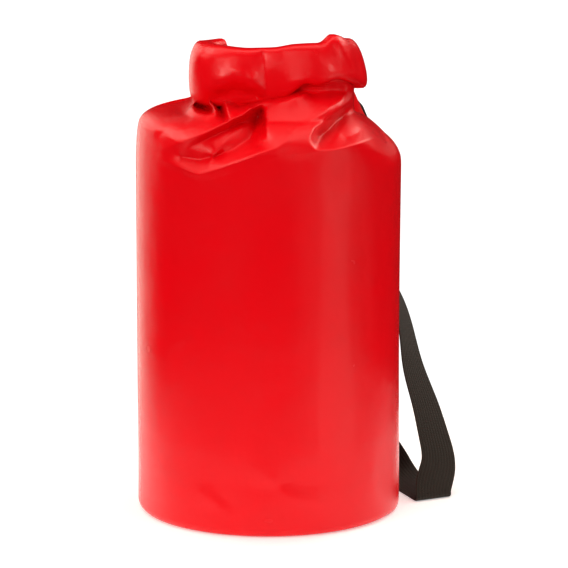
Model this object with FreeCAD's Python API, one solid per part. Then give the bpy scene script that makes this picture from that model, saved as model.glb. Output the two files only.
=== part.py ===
"""Roll-top dry bag with a one-shoulder strap, in millimetres, +Z up.

The origin is the centre of the base, on the surface that the bag stands on.  The front faces -Y.
The rolled collar is closed into a ring, and its buckle is at the back.  The strap hangs on two
rectangular rings on one vertical line behind the bag, ANCHOR_AZIMUTH degrees round from +Y to +X.
"""
import FreeCAD
import Part
import math
import os

V = FreeCAD.Vector
UP = V(0, 0, 1)

# ---------------------------------------------------------------- driving dimensions
BAG_R = 125.0             # outside radius of the filled bag
FABRIC = 1.0              # coated fabric
WEB = 1.4                 # webbing of the shoulder strap and its tabs
WEB_W = 38.0
TOUCH_GAP = 0.3           # between soft pieces of different bodies
CLOSURE_WEB = 1.2         # webbing of the roll closure
CLOSURE_W = 25.0
WIRE_R = 2.0              # rectangular rings

BASE_CORNER_R = 11.0      # between the base and its welded flange
FLANGE_TOP = 27.0
TUBE_BOTTOM = 6.0
SHOULDER = [(BAG_R, 345.0), (109.0, 378.0), (62.0, 394.0)]
SHOULDER_BLEND = 24.0
CROWN_TOP = 396.0

ROLL_Z = (409.0, 453.0)   # the rolled collar's lower and upper edge at the front
ROLL_HALF = 13.0          # half its thickness
ROLL_EDGE_R = 10.0
RING_R = 40.0             # the closure ring's corner radius, at the middle of the roll
RING_X = (-22.0, 38.0)    # corner centres, left and right
RING_Y = (0.0, 50.0)      # corner centres, front and back
ROLL_END_LEFT = -46.0     # x of the roll's ends behind the bag
ROLL_END_RIGHT = 42.0
END_DROP = 21.0           # the ends are pulled down towards the buckle
DROP_LENGTH = 115.0       # of roll, from each end
CORE_HALF = 3.0           # half the slot between the turns, which holds strips and webbing
CORE_H = 34.0
STRIP_H = 30.0
NECK_HALF = 6.0
NECK_BOTTOM = 356.0

BUCKLE_Y = RING_Y[1] + RING_R
BUCKLE_Z = (ROLL_Z[0] + ROLL_Z[1]) / 2 - END_DROP
BUCKLE_HALF_W = 14.2
MOUTH_X = 10.0            # the female half's mouth

ANCHOR_AZIMUTH = 38.0
SWING_R = 147.0           # distance of the strap's swing line from the bag's axis
UPPER_BAR = (129.5, 357.0)    # radius and height of the bar that each tab holds
LOWER_BAR = (130.5, 112.0)
RING_PITCH = 16.0         # between a ring's two bars
RING_INNER_W = 41.0
RING_CORNER_R = 5.0
UPPER_RUN = 110.0         # from the upper bar to the cut where the swinging strap starts
LOWER_RUN = 50.0
LOOP_INNER_R = 5.6        # the strap's loops, open enough for the rings to tilt
ADJUSTER_DOWN = 91.0      # adjuster's centre below the upper bar


# ---------------------------------------------------------------- helpers
def polar(azimuth, radius, z):
    """A point at an azimuth counted from +Y towards +X."""
    a = math.radians(azimuth)
    return V(radius * math.sin(a), radius * math.cos(a), z)


def box(x0, x1, y0, y1, z0, z1):
    return Part.makeBox(x1 - x0, y1 - y0, z1 - z0, V(x0, y0, z0))


def filleted(points, radii):
    """Runs and tangent arcs through 2-D points: ("line", p, q) or ("arc", centre, r, from, sweep)."""
    made, start = [], points[0]
    for before, corner, after, r in zip(points, points[1:], points[2:], radii):
        ax, ay = before[0] - corner[0], before[1] - corner[1]
        bx, by = after[0] - corner[0], after[1] - corner[1]
        la, lb = math.hypot(ax, ay), math.hypot(bx, by)
        ax, ay, bx, by = ax / la, ay / la, bx / lb, by / lb
        half = math.acos(max(-1.0, min(1.0, ax * bx + ay * by))) / 2
        back = r / math.tan(half)
        p = (corner[0] + ax * back, corner[1] + ay * back)
        q = (corner[0] + bx * back, corner[1] + by * back)
        mx, my = ax + bx, ay + by
        reach = r / math.sin(half) / math.hypot(mx, my)
        centre = (corner[0] + mx * reach, corner[1] + my * reach)
        if math.hypot(p[0] - start[0], p[1] - start[1]) > 1e-4:
            made.append(("line", start, p))
        a0 = math.atan2(p[1] - centre[1], p[0] - centre[0])
        a1 = math.atan2(q[1] - centre[1], q[0] - centre[0])
        sweep = (a1 - a0 + math.pi) % (2 * math.pi) - math.pi
        made.append(("arc", centre, r, a0, sweep))
        start = q
    if math.hypot(points[-1][0] - start[0], points[-1][1] - start[1]) > 1e-4:
        made.append(("line", start, points[-1]))
    return made


def strip_face(parts, low, high, place):
    """The face between two offsets of a path, measured to its left; place turns 2-D into 3-D."""
    def offset_edges(d):
        found = []
        for part in parts:
            if part[0] == "line":
                (x0, y0), (x1, y1) = part[1], part[2]
                length = math.hypot(x1 - x0, y1 - y0)
                nx, ny = -(y1 - y0) / length * d, (x1 - x0) / length * d
                found.append(Part.LineSegment(place(x0 + nx, y0 + ny), place(x1 + nx, y1 + ny)))
            else:
                _, (cx, cy), r, a0, sweep = part
                r = r - d if sweep > 0 else r + d
                on = [place(cx + r * math.cos(a0 + sweep * k), cy + r * math.sin(a0 + sweep * k))
                      for k in (0, 0.5, 1)]
                found.append(Part.Arc(*on))
        return [e.toShape() for e in found]

    first, second = offset_edges(low), offset_edges(high)
    ends = [Part.LineSegment(a, b).toShape() for a, b in (
        (first[0].firstVertex(True).Point, second[0].firstVertex(True).Point),
        (first[-1].lastVertex(True).Point, second[-1].lastVertex(True).Point))]
    edges = Part.__sortEdges__(first + second + ends)
    return Part.Face(Part.Wire(edges))


def bent_strip(points, radii, thickness, width):
    """Webbing bent in a plane of radius and height, its width across X; built on the +Y side."""
    face = strip_face(filleted(points, radii), -thickness / 2, thickness / 2,
                      lambda y, z: V(-width / 2, y, z))
    return face.extrude(V(width, 0, 0))


def to_anchor(shape):
    """From the +Y side of the bag round to the strap's anchors."""
    return shape.rotated(V(0, 0, 0), UP, -ANCHOR_AZIMUTH)


def ribbon(stations, width, thickness):
    """A thin band lofted through (point, tangent, width direction) stations."""
    wires = []
    for point, tangent, across in stations:
        t = V(tangent).normalize()
        w = (V(across) - t * V(across).dot(t)).normalize()
        n = t.cross(w)
        a, b = w * (width / 2), n * (thickness / 2)
        wires.append(Part.makePolygon([point - a - b, point + a - b, point + a + b,
                                       point - a + b, point - a - b]))
    return Part.makeLoft(wires, True, True)


# ---------------------------------------------------------------- shell and base
def shoulder_path():
    points = [(BAG_R, TUBE_BOTTOM)] + SHOULDER + [(SHOULDER[-1][0] - 8, CROWN_TOP), (0, CROWN_TOP)]
    return filleted(points, [SHOULDER_BLEND, SHOULDER_BLEND, 6, 6])


def revolved(face):
    return face.revolve(V(0, 0, 0), UP, 360)


def body_tube():
    """Side wall, shoulder and the crown under the roll: one sheet, drawn in by the closure."""
    face = strip_face(shoulder_path(), 0, FABRIC, lambda r, z: V(r, 0, z))
    return revolved(face)


def filled_body():
    """Everything inside the outside of the tube."""
    path = shoulder_path()
    edges = []
    for part in path:
        if part[0] == "line":
            edges.append(Part.LineSegment(V(part[1][0], 0, part[1][1]), V(part[2][0], 0, part[2][1])))
        else:
            _, (cx, cz), r, a0, sweep = part
            edges.append(Part.Arc(*[V(cx + r * math.cos(a0 + sweep * k), 0,
                                      cz + r * math.sin(a0 + sweep * k)) for k in (0, 0.5, 1)]))
    shapes = [e.toShape() for e in edges]
    shapes.append(Part.LineSegment(V(0, 0, CROWN_TOP), V(0, 0, TUBE_BOTTOM)).toShape())
    shapes.append(Part.LineSegment(V(0, 0, TUBE_BOTTOM), V(BAG_R, 0, TUBE_BOTTOM)).toShape())
    return revolved(Part.Face(Part.Wire(Part.__sortEdges__(shapes))))


def base_dish():
    """Round base with its edge turned up inside the tube, where the two are welded."""
    r = BAG_R - FABRIC
    path = filleted([(0, 0), (r, 0), (r, FLANGE_TOP)], [BASE_CORNER_R])
    return revolved(strip_face(path, 0, FABRIC, lambda x, z: V(x, 0, z)))


def wall_patch(azimuth, half_width, z0, z1, r0, thickness, corner=6.0):
    """A rounded rectangle of sheet lying on the wall."""
    ring = Part.makeCylinder(r0 + thickness, z1 - z0, V(0, 0, z0)).cut(
        Part.makeCylinder(r0, z1 - z0, V(0, 0, z0)))
    blank = box(-half_width, half_width, 0, r0 + 20, z0, z1)
    blank = blank.makeFillet(corner, [e for e in blank.Edges if abs(e.tangentAt(
        e.FirstParameter).y) > 0.99])
    return ring.common(blank).rotated(V(0, 0, 0), UP, -azimuth)


# ---------------------------------------------------------------- rolled collar
def ring_stations():
    """(x, y, outward x, outward y, drop) along the roll's middle line, from its left end round
    the front to its right end."""
    (left, right), (front, back) = RING_X, RING_Y
    quarter = math.pi / 2
    start = math.acos((ROLL_END_LEFT - left) / RING_R)
    end = math.acos((ROLL_END_RIGHT - right) / RING_R)
    turns = [((left, back), start, math.pi), ((left, front), math.pi, math.pi + quarter),
             ((right, front), -quarter, 0.0), ((right, back), 0.0, end)]
    stations, run = [], 0.0
    for (cx, cy), a0, a1 in turns:
        steps = max(3, round((a1 - a0) * RING_R / 10))
        for k in range(steps + 1):
            a = a0 + (a1 - a0) * k / steps
            x, y = cx + RING_R * math.cos(a), cy + RING_R * math.sin(a)
            if stations:
                run += math.hypot(x - stations[-1][0], y - stations[-1][1])
            stations.append((x, y, math.cos(a), math.sin(a), run))
    placed = []
    for x, y, nx, ny, at in stations:
        share = min(1.0, min(at, run - at) / DROP_LENGTH)
        placed.append((x, y, nx, ny, END_DROP * (1 - share * share * (3 - 2 * share))))
    return placed


def ring_band(low, high, z0, z1, corner=0.0, foot=None):
    """A band along the roll between two offsets; foot keeps its lower edge at one height."""
    wires = []
    for x, y, nx, ny, drop in ring_stations():
        base = z0 - drop if foot is None else foot
        corners = [(low, base), (high, base), (high, z1 - drop), (low, z1 - drop)]
        points = [V(x + nx * d, y + ny * d, z) for d, z in corners]
        wires.append(rounded_wire(points, corner) if corner else Part.makePolygon(points + points[:1]))
    return Part.makeLoft(wires, True, True)


def rounded_wire(points, r):
    """A closed polygon with round corners."""
    edges, count = [], len(points)
    for i, corner in enumerate(points):
        before = (points[i - 1] - corner).normalize()
        after = (points[(i + 1) % count] - corner).normalize()
        inside = corner + (before + after) * r
        middle = inside - (before + after).normalize() * r
        edges.append(Part.Arc(corner + before * r, middle, corner + after * r).toShape())
        ahead = points[(i + 1) % count]
        edges.append(Part.LineSegment(corner + after * r, ahead - after * r).toShape())
    return Part.Wire(edges)


def rolled_collar():
    """The mouth of the bag, flattened and rolled down on itself, bent round into a ring."""
    middle = (ROLL_Z[0] + ROLL_Z[1]) / 2
    core = ring_band(-CORE_HALF, CORE_HALF, middle - CORE_H / 2, middle + CORE_H / 2)
    return ring_band(-ROLL_HALF, ROLL_HALF, *ROLL_Z, ROLL_EDGE_R).cut(core)


def core_band(low, high, height):
    middle = (ROLL_Z[0] + ROLL_Z[1]) / 2
    return ring_band(low, high, middle - height / 2, middle + height / 2)


def gathered_neck(body):
    """Fabric drawn together between the shoulder and the roll."""
    return ring_band(-NECK_HALF, NECK_HALF, 0, ROLL_Z[0], foot=NECK_BOTTOM).cut(body)


def hem_lap():
    """Lapped end of the hem tape, on the front of the roll."""
    outer = RING_Y[0] - RING_R - ROLL_HALF
    return box(-6.5, 17.5, outer - 0.5, outer, ROLL_Z[0] + 11, ROLL_Z[1] - 11)


# ---------------------------------------------------------------- buckle
def eye(x, y, inner, thickness, height):
    ring = Part.makeCylinder(inner + thickness, height, V(x, y, BUCKLE_Z - height / 2))
    return ring.cut(Part.makeCylinder(inner, height, V(x, y, BUCKLE_Z - height / 2)))


BAR_R = 1.6
EYE_INNER = 1.9
FEMALE_BAR_X = 36.4
MALE_BAR_X = -1.4
ARM_ROOT = (9.6, 7.5)     # x and distance from the middle of each arm's hinge
ARM_ROOT_R = 1.6
FEMALE_END_X = 38.0
FEMALE_BLOCK_X = 30.0


def mirrored_prism(outline, half_thickness):
    """An outline in x and z made solid about the buckle's own middle plane."""
    points = [V(x, BUCKLE_Y - half_thickness, BUCKLE_Z + z) for x, z in outline]
    face = Part.Face(Part.makePolygon(points + points[:1]))
    return face.extrude(V(0, 2 * half_thickness, 0))


def web_window(x0, x1, half_y):
    return box(x0, x1, BUCKLE_Y - half_y - 1, BUCKLE_Y + half_y + 1,
               BUCKLE_Z - 13.0, BUCKLE_Z + 13.0)


def bar(x):
    length = 2 * BUCKLE_HALF_W - 1
    return Part.makeCylinder(BAR_R, length, V(x, BUCKLE_Y, BUCKLE_Z - length / 2))


def buckle_female():
    """Housing with a flared mouth, side windows for the arms and a bar for the webbing."""
    w = BUCKLE_HALF_W
    half_y = 5.2
    block = box(MOUTH_X, FEMALE_END_X, BUCKLE_Y - half_y, BUCKLE_Y + half_y, BUCKLE_Z - w, BUCKLE_Z + w)
    block = block.makeFillet(2.4, [e for e in block.Edges if e.BoundBox.XLength > 5])
    throat = [(MOUTH_X - 1, -11.6), (MOUTH_X + 7, -13.2), (MOUTH_X + 7, -w - 1), (28, -w - 1),
              (28, -13.0), (FEMALE_BLOCK_X, -11.0), (FEMALE_BLOCK_X, 11.0), (28, 13.0),
              (28, w + 1), (MOUTH_X + 7, w + 1), (MOUTH_X + 7, 13.2), (MOUTH_X - 1, 11.6)]
    block = block.cut(mirrored_prism(throat, 2.7))
    block = block.cut(web_window(32.6, FEMALE_END_X + 2, half_y))
    return block.fuse(bar(FEMALE_BAR_X)).removeSplitter()


def buckle_male():
    """Plug with its guide tongue, the seats of the two arms and a bar for the webbing."""
    w = BUCKLE_HALF_W
    half_y = 4.2
    plate = box(-3.8, ARM_ROOT[0], BUCKLE_Y - half_y, BUCKLE_Y + half_y, BUCKLE_Z - w, BUCKLE_Z + w)
    plate = plate.makeFillet(2.4, [e for e in plate.Edges if e.BoundBox.XLength > 5])
    plate = plate.cut(web_window(-5.0, 2.8, half_y)).fuse(bar(MALE_BAR_X))
    tongue = mirrored_prism([(8.0, -1.6), (24.5, -1.6), (26.5, -0.7), (26.5, 0.7),
                             (24.5, 1.6), (8.0, 1.6)], 2.0)
    plate = plate.fuse(tongue)
    for side in (1, -1):
        seat = Part.makeCylinder(ARM_ROOT_R + 0.2, 12, V(
            ARM_ROOT[0], BUCKLE_Y - 6, BUCKLE_Z + side * ARM_ROOT[1]), V(0, 1, 0))
        plate = plate.cut(seat)
    return plate.removeSplitter()


def buckle_arm(side):
    """Springy arm: narrow at its root, then a thumb pad that wedges behind the mouth."""
    outline = [(10.2, 6.1), (15.0, 7.6), (20.0, 8.2), (26.0, 8.8), (27.4, 10.2), (27.0, 12.0),
               (25.0, 13.9), (22.5, 13.9), (20.0, 13.2), (17.0, 12.5), (13.0, 11.2), (10.2, 8.9)]
    half_y = 2.3
    blade = mirrored_prism([(x, side * z) for x, z in outline], half_y)
    root = Part.makeCylinder(ARM_ROOT_R, 2 * half_y, V(
        ARM_ROOT[0], BUCKLE_Y - half_y, BUCKLE_Z + side * ARM_ROOT[1]), V(0, 1, 0))
    return blade.fuse(root).removeSplitter()


def closure_tail(points, radii):
    """Free webbing between an end of the roll and a buckle half."""
    face = strip_face(filleted(points, radii) if radii else [("line", *points)],
                      -CLOSURE_WEB / 2, CLOSURE_WEB / 2, lambda x, y: V(x, y, BUCKLE_Z - CLOSURE_W / 2))
    return face.extrude(V(0, 0, CLOSURE_W))


# ---------------------------------------------------------------- rings, tabs and adjuster
def lean(bar_at, run):
    """Degrees that a hanging stack leans out, to reach the swing line after its run."""
    return math.degrees(math.asin((SWING_R - bar_at[0]) / run))


def hung(shape, bar_at, run):
    """From a stack built straight down from the origin to its place under a tab's bar."""
    leaning = shape.rotated(V(0, 0, 0), V(1, 0, 0), lean(bar_at, run))
    return to_anchor(leaning.translated(V(0, bar_at[0], bar_at[1])))


def cut_height(bar_at, run):
    return bar_at[1] - run * math.cos(math.radians(lean(bar_at, run)))


def rect_ring():
    """Rectangular ring of round section, its upper bar on the X axis."""
    half = RING_INNER_W / 2 + WIRE_R
    plate = box(-half, half, 0, 1, -RING_PITCH, 0)
    plate = plate.makeFillet(RING_CORNER_R, [e for e in plate.Edges if e.BoundBox.YLength > 0.5])
    front = [f for f in plate.Faces if f.BoundBox.YMax < 0.5][0]
    spine = Part.Wire(Part.__sortEdges__(front.OuterWire.Edges))
    profile = Part.Wire(Part.makeCircle(WIRE_R, V(0, 0, 0), V(1, 0, 0)))
    return spine.makePipeShell([profile], True, True, 2)


def tab_eye(bar_at, thickness):
    return Part.makeCylinder(WIRE_R + 0.4 + thickness, WEB_W, V(-WEB_W / 2, *bar_at), V(1, 0, 0)).cut(
        Part.makeCylinder(WIRE_R + 0.4, WEB_W + 2, V(-WEB_W / 2 - 1, *bar_at), V(1, 0, 0)))


def upper_tab(neck):
    """Doubled webbing from under the roll, down over the shoulder and round the upper ring."""
    r, z = UPPER_BAR
    tab = bent_strip([(98, 385.2), (111, 383.0), (123, 373.0), (r + 1.6, z + 3.0)], [14, 16],
                     2 * WEB, WEB_W)
    bore = Part.makeCylinder(WIRE_R + 0.4, WEB_W + 2, V(-WEB_W / 2 - 1, r, z), V(1, 0, 0))
    tab = to_anchor(tab.fuse(tab_eye(UPPER_BAR, WEB)).cut(bore).removeSplitter()).cut(neck)
    return max(tab.Solids, key=lambda piece: piece.Volume)


def lower_tab():
    """Doubled webbing sewn to the wall patch, and round the lower ring."""
    r, z = LOWER_BAR
    wall = BAG_R + FABRIC + 0.6 + WEB
    strip = bent_strip([(wall, z + 46), (wall, z + 14), (r - 0.4, z + 2.5)], [30], 2 * WEB, WEB_W - 2)
    bore = Part.makeCylinder(WIRE_R + 0.4, WEB_W + 2, V(-WEB_W / 2 - 1, r, z), V(1, 0, 0))
    return to_anchor(strip.fuse(tab_eye(LOWER_BAR, WEB)).cut(bore).removeSplitter())


def above_cut(shape, height):
    return shape.common(box(-400, 400, -400, 400, height, height + 400))


def strap_upper_run():
    """The strap from the swing line up through the adjuster and over the upper ring."""
    loop = LOOP_INNER_R + WEB / 2
    ring = -RING_PITCH
    points = [(0, -UPPER_RUN - 12), (0, ring - 19), (loop, ring - 8), (loop, ring + loop),
              (-loop, ring + loop), (-loop, ring - 8), (-4.4, ring - 17), (-4.4, ring - 20)]
    run = bent_strip(points, [9, 9, loop, loop, 9, 5], WEB, WEB_W)
    return above_cut(hung(run, UPPER_BAR, UPPER_RUN), cut_height(UPPER_BAR, UPPER_RUN))


def strap_end_layer():
    """The layer that shortens as the adjuster goes up."""
    layer = box(-WEB_W / 2, WEB_W / 2, -4.4 - WEB / 2, -4.4 + WEB / 2, -ADJUSTER_DOWN + 15, -RING_PITCH - 20)
    return hung(layer, UPPER_BAR, UPPER_RUN)


def strap_end_loop():
    """The strap's sewn end, round the adjuster's middle bar."""
    middle = V(-WEB_W / 2, -4.4, -ADJUSTER_DOWN)
    tube = Part.makeCylinder(3.0, WEB_W, middle, V(1, 0, 0))
    stub = box(-WEB_W / 2, WEB_W / 2, -5.6, -3.2, -ADJUSTER_DOWN + 2, -ADJUSTER_DOWN + 15)
    bore = Part.makeCylinder(1.8, WEB_W + 2, middle - V(1, 0, 0), V(1, 0, 0))
    return hung(tube.fuse(stub).cut(bore).removeSplitter(), UPPER_BAR, UPPER_RUN)


def strap_adjuster():
    """Three-bar slider; the strap weaves between its bars."""
    half_w, half_h = 24.0, 13.5
    z = -ADJUSTER_DOWN
    frame = box(-half_w, half_w, -6.0, 3.6, z - half_h, z + half_h)
    frame = frame.makeFillet(3.0, [e for e in frame.Edges if e.BoundBox.YLength > 5])
    frame = frame.cut(box(-20, 20, -10, 10, z - half_h - 1, z + half_h + 1))
    middle = Part.makeCylinder(1.5, 2 * half_w - 2, V(-half_w + 1, -4.4, z), V(1, 0, 0))
    frame = frame.fuse(middle)
    for end in (1, -1):
        rail = Part.makeCylinder(1.3, 2 * half_w - 4, V(-half_w + 2, 2.2, z + end * (half_h - 2.0)), V(1, 0, 0))
        frame = frame.fuse(rail)
    return hung(frame.removeSplitter(), UPPER_BAR, UPPER_RUN)


def strap_lower_loop():
    """The strap's lower end, sewn back on itself round the lower ring."""
    loop = LOOP_INNER_R + WEB / 2
    ring = -RING_PITCH
    tube = Part.makeCylinder(loop + WEB / 2, WEB_W, V(-WEB_W / 2, 0, ring), V(1, 0, 0))
    wedge = mirrored_wedge(loop, ring)
    stub = box(-WEB_W / 2, WEB_W / 2, -WEB, WEB, -LOWER_RUN - 12, ring - 12)
    bore = Part.makeCylinder(loop - WEB / 2, WEB_W + 2, V(-WEB_W / 2 - 1, 0, ring), V(1, 0, 0))
    whole = tube.fuse(wedge).fuse(stub).cut(bore).removeSplitter()
    return above_cut(hung(whole, LOWER_BAR, LOWER_RUN), cut_height(LOWER_BAR, LOWER_RUN))


def mirrored_wedge(loop, ring):
    """Where the two layers of the lower loop come together."""
    r = loop + WEB / 2
    points = [V(-WEB_W / 2, -r, ring), V(-WEB_W / 2, r, ring), V(-WEB_W / 2, WEB, ring - 14),
              V(-WEB_W / 2, -WEB, ring - 14)]
    return Part.Face(Part.makePolygon(points + points[:1])).extrude(V(WEB_W, 0, 0))


def tack_rows():
    """Raised thread where the webbing is sewn: bars on the lower tab and on the lower loop."""
    tacks = []
    wall = BAG_R + FABRIC + 0.6 + 2 * WEB
    for dz in (20, 28, 36):
        tacks.append(to_anchor(box(-15, 15, wall, wall + 0.5, LOWER_BAR[1] + dz, LOWER_BAR[1] + dz + 1.6)))
    for dz in (-33, -38, -43):
        tacks.append(hung(box(-15, 15, WEB, WEB + 0.5, dz, dz + 1.4), LOWER_BAR, LOWER_RUN))
    return Part.makeCompound(tacks)


# ---------------------------------------------------------------- the swinging strap
# Centre line from the upper cut to the fold on the floor, and from the fold to the lower cut, each
# with the direction that the strap's width points, in degrees from +X.
STRAP_DOWN = [
    ((99.0, 115.5, 226.0), 116), ((112.0, 109.5, 206.0), 95), ((121.0, 103.0, 192.0), 84),
    ((128.5, 96.0, 174.0), 76), ((134.3, 88.0, 152.0), 70), ((141.0, 76.0, 118.0), 60),
    ((150.4, 60.0, 84.0), 50), ((158.0, 44.0, 54.0), 40), ((161.0, 30.0, 29.0), 32),
]
STRAP_BACK = [
    ((150.0, 31.0, 0.8), 22), ((142.5, 54.0, 0.8), 14), ((136.5, 73.0, 4.5), 6),
    ((127.0, 88.5, 17.0), -6), ((113.0, 100.5, 33.0), -20), ((99.5, 110.0, 50.0), -32),
]
FOLD_AT = (155.5, 15.5)   # plan position of the fold's axis
FOLD_R = 3.2
FOLD_ANGLE = 27.0         # direction of the fold line
FOLD_LEAN = 24.0          # of the strap coming down to it
STRAP_SAMPLES = 4         # loft sections from one point of the route to the next


def strap_run(route, first, last):
    """Stations along a smooth line through the route, with its end directions given."""
    curve = Part.BSplineCurve()
    points = [V(*p) for p, _ in route]
    curve.interpolate(Points=points, InitialTangent=first, FinalTangent=last)
    knots = [curve.parameter(p) for p in points]
    stations = []
    for i in range(len(route) - 1):
        steps = STRAP_SAMPLES if (points[i + 1] - points[i]).Length > 12 else 2
        for k in range(steps + (i == len(route) - 2)):
            share = k / steps
            u = knots[i] + (knots[i + 1] - knots[i]) * share
            angle = math.radians(route[i][1] + (route[i + 1][1] - route[i][1]) * share)
            across = V(math.cos(angle), math.sin(angle), 0)
            stations.append((curve.value(u), curve.tangent(u)[0], across))
    return stations


def strap_main():
    """The shoulder strap between the two cuts on its swing line, folded over on the floor."""
    fold = math.radians(FOLD_ANGLE)
    across = V(math.cos(fold), math.sin(fold), 0)
    back = V(-math.sin(fold), math.cos(fold), 0)
    axis = V(FOLD_AT[0], FOLD_AT[1], FOLD_R + WEB / 2 + 0.1)
    turns = []
    for k in range(7):
        a = math.radians(-FOLD_LEAN + (90 + FOLD_LEAN) * k / 6)
        out = back * -math.cos(a) - UP * math.sin(a)
        turns.append((axis + out * FOLD_R, back * math.sin(a) - UP * math.cos(a), across))
    top = polar(ANCHOR_AZIMUTH, SWING_R, cut_height(UPPER_BAR, UPPER_RUN) - TOUCH_GAP)
    bottom = polar(ANCHOR_AZIMUTH, SWING_R, cut_height(LOWER_BAR, LOWER_RUN) - TOUCH_GAP)
    down = strap_run([(tuple(top), 180 - ANCHOR_AZIMUTH)] + STRAP_DOWN
                     + [(tuple(turns[0][0]), FOLD_ANGLE)], UP * -1, turns[0][1])
    up = strap_run([(tuple(turns[-1][0]), FOLD_ANGLE)] + STRAP_BACK
                   + [(tuple(bottom), -ANCHOR_AZIMUTH)], turns[-1][1], UP)
    return ribbon(down + turns[1:-1] + up, WEB_W, WEB)


# ---------------------------------------------------------------- build
def build():
    filled = filled_body()
    collar = rolled_collar()
    neck = gathered_neck(filled)
    along = [(x, y) for x, y, *_ in ring_stations()]
    end_left = (along[0][0] + 0.3, along[0][1] + 0.2)
    end_right = (along[-1][0] - 0.3, along[-1][1])
    eye_out = EYE_INNER + CLOSURE_WEB
    stub_left = MALE_BAR_X - eye_out - 3.0
    right_tail = closure_tail([end_right, (FEMALE_BAR_X + eye_out - 0.6, BUCKLE_Y - 0.2)], None)
    left_tail = closure_tail([end_left, (ROLL_END_LEFT + 12, BUCKLE_Y), (stub_left, BUCKLE_Y)], [20])
    male_stub = closure_tail([(stub_left, BUCKLE_Y), (MALE_BAR_X - eye_out + 0.6, BUCKLE_Y)], None)
    return {
        "body_tube": body_tube(),
        "base_dish": base_dish(),
        "back_seam_tape": wall_patch(0, 13, 9, 336, BAG_R, 0.8, 3.0),
        "gathered_neck": neck,
        "rolled_collar": collar,
        "hem_lap": hem_lap(),
        "stiffener_inner": core_band(1.4, 2.6, STRIP_H),
        "stiffener_outer": core_band(-2.6, -1.4, STRIP_H),
        "closure_webbing": core_band(-CLOSURE_WEB / 2, CLOSURE_WEB / 2, CLOSURE_W),
        "closure_tail_right": right_tail.fuse(eye(
            FEMALE_BAR_X, BUCKLE_Y, EYE_INNER, CLOSURE_WEB, CLOSURE_W)).removeSplitter(),
        "closure_tail_left": left_tail,
        "closure_loop_left": male_stub.fuse(eye(
            MALE_BAR_X, BUCKLE_Y, EYE_INNER, CLOSURE_WEB, CLOSURE_W)).removeSplitter(),
        "buckle_female": buckle_female(),
        "buckle_male": buckle_male(),
        "buckle_arm_upper": buckle_arm(1),
        "buckle_arm_lower": buckle_arm(-1),
        "upper_tab": upper_tab(neck),
        "upper_ring": hung(rect_ring(), UPPER_BAR, UPPER_RUN),
        "strap_upper_run": strap_upper_run(),
        "strap_end_layer": strap_end_layer(),
        "strap_end_loop": strap_end_loop(),
        "strap_adjuster": strap_adjuster(),
        "strap_main": strap_main(),
        "lower_patch": wall_patch(ANCHOR_AZIMUTH, 28, 104, 172, BAG_R, FABRIC),
        "lower_tab": lower_tab(),
        "lower_ring": hung(rect_ring(), LOWER_BAR, LOWER_RUN),
        "strap_lower_loop": strap_lower_loop(),
        "tack_rows": tack_rows(),
    }


if __name__ == "__main__":
    os.makedirs("parts", exist_ok=True)
    for name, shape in build().items():
        shape.exportStep(os.path.join("parts", name + ".step"))
        print(f"{name:20s} solids {len(shape.Solids)} valid {shape.isValid()} volume {shape.Volume:.0f}")
    print("strap cuts at", cut_height(UPPER_BAR, UPPER_RUN), cut_height(LOWER_BAR, LOWER_RUN))
    print("leans", lean(UPPER_BAR, UPPER_RUN), lean(LOWER_BAR, LOWER_RUN))
    print("swing line", polar(ANCHOR_AZIMUTH, SWING_R, 0))
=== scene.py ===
"""Looks of the roll-top dry bag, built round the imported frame.  Metres, +Z up, front to -Y."""
import bmesh
import bpy
import math
import numpy as np
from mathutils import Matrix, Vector, noise


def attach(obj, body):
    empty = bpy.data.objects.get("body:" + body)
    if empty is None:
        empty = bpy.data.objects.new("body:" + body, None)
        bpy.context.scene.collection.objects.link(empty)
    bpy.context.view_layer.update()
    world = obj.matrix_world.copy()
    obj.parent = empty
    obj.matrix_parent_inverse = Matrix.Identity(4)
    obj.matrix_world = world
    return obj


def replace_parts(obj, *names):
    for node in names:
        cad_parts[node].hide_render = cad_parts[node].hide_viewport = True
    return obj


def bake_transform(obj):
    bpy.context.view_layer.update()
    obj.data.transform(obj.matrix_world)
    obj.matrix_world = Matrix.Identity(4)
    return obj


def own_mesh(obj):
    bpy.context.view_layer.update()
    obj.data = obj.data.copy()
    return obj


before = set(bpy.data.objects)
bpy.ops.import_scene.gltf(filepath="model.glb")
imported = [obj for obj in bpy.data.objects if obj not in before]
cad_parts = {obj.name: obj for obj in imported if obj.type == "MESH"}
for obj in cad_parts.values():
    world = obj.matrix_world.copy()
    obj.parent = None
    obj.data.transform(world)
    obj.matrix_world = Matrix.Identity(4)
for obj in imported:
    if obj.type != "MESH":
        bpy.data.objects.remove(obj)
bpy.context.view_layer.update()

# ---------------------------------------------------------------- sizes shared with the CAD
MM = 0.001
BAG_R = 0.125
ROLL_Z = (0.409, 0.453)  # the roll's lower and upper edge at the front
ROLL_HALF = 0.013  # half its thickness
RING_R, RING_X, RING_Y = 0.040, (-0.022, 0.038), (0.0, 0.050)  # the corners of the ring it is bent into
ROLL_ENDS = (-0.046, 0.042)  # where its two ends stop, in x
END_DROP, DROP_LENGTH = 0.021, 0.115  # how far the ends hang, and over what length
BUCKLE_Y, BUCKLE_Z = 0.090, 0.410
AZIMUTH = math.radians(38.0)  # the strap's anchors, from the back towards +X
SWING_R = 0.147  # the line that the strap swings round, from the bag's axis
UPPER_BAR, LOWER_BAR = (0.1295, 0.357), (0.1305, 0.112)  # each ring's fixed bar: radius, height
UPPER_RUN, LOWER_RUN = 0.110, 0.050  # from each bar to the swing line
WEB, WEB_W = 0.0014, 0.038  # the strap's webbing: thickness, width
TAPE_T, TAPE_W = 0.0012, 0.025  # the closing webbing
SWING = Vector((SWING_R * math.sin(AZIMUTH), SWING_R * math.cos(AZIMUTH), 0.0))


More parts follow.
